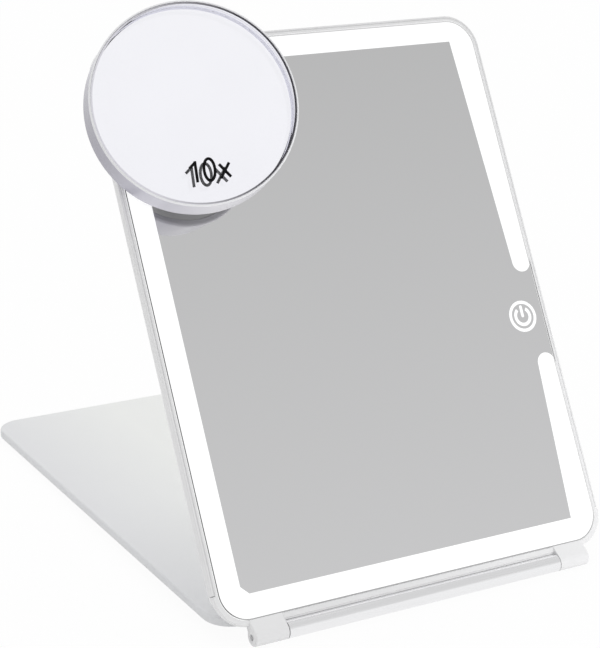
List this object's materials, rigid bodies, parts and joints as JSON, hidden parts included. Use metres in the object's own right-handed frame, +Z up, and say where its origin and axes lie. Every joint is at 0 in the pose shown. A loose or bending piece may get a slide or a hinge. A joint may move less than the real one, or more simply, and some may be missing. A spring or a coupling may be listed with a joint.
{
  "type": "lighted makeup mirror",
  "caption": "Folding lighted makeup mirror: round-cornered glass with a lit border and touch key, hinged lid that swings back as a stand, and a round magnifier on a magnetic swivel base.",
  "frame": {"origin": "on the table under the middle of the hinge barrel, where the barrel's lowest line rests", "axes": "+Z up, +X along the hinge to the right seen from the front; the mirror faces -Y and the lid lies behind it along +Y"},
  "size_m": [0.183, 0.2229, 0.2128],
  "materials": {
    "white_frame": "smooth moulded, semi-gloss",
    "white_shell": "satin moulded",
    "cover_skin": "satin moulded",
    "cover_board": "matte",
    "cover_lining": "satin",
    "silvered_glass": "silvered, polished",
    "lit_band": "frosted, lit from behind",
    "lit_mark": "etched, lit from behind",
    "clear_glass": "clear, polished",
    "silver_film": "silvering",
    "tape": "adhesive foam",
    "opal_film": "opal",
    "circuit_board": "white solder mask",
    "main_circuit": "green solder mask",
    "white_sheet": "matte white",
    "cell_foil": "foil pouch",
    "socket_steel": "drawn steel",
    "light_pipe": "clear moulded",
    "copper_foil": "foil",
    "keeper_steel": "plain sheet",
    "pin_steel": "ground",
    "barrel_satin": "satin, pearl white",
    "bush_plastic": "moulded",
    "screw_steel": "plain",
    "foot_rubber": "matte",
    "base_plastic": "smooth moulded",
    "magnet": "plated",
    "grip_pad": "matte silicone",
    "clear_ring": "clear acrylic"
  },
  "bodies": {
    "panel": {"front_frame": "white_frame", "rear_shell": "white_shell", "mirror_glass": "silvered_glass", "touch_icon": "lit_mark", "light_window": "lit_band", "glass_tape": "tape", "diffuser_film": "opal_film", "reflector_sheet": "white_sheet", "led_strip_left": "circuit_board", "led_strip_right_lower": "circuit_board", "led_strip_right_upper": "circuit_board", "led_strip_bottom": "circuit_board", "led_strip_top": "circuit_board", "battery_cell": "cell_foil", "main_board": "main_circuit", "usb_socket": "socket_steel", "charge_light": "light_pipe", "touch_pad": "copper_foil", "keeper_plate": "keeper_steel", "hinge_pins": "pin_steel"},
    "cover": {"cover_shell": "cover_skin", "cover_core": "cover_board", "cover_inner_plate": "cover_lining", "hinge_barrel": "barrel_satin", "torque_bushes": "bush_plastic", "leaf_screws": "screw_steel", "rubber_feet": "foot_rubber"},
    "magnifier_base": {"swivel_base": "base_plastic", "base_magnet": "magnet", "base_pad": "grip_pad"},
    "magnifier_head": {"magnifier_ring": "clear_ring", "magnifier_glass": "clear_glass", "magnifier_mirror": "silver_film", "magnifier_back": "base_plastic"}
  },
  "joints": [
    {"name": "cover_hinge", "type": "hinge", "parent": "panel", "child": "cover", "pos_m": [0, 0, 0.0034], "axis": [1, 0, 0], "range_deg": [-291, 0]},
    {"name": "magnifier_slide", "type": "slide", "parent": "panel", "child": "magnifier_base", "axis": [0, 0.524, 0.8517], "range_m": [0, 0.07]},
    {"name": "magnifier_tilt", "type": "hinge", "parent": "magnifier_base", "child": "magnifier_head", "pos_m": [-0.05595, 0.09246, 0.17335], "axis": [0, 0.524, 0.8517], "range_deg": [-2, 20]}
  ]
}
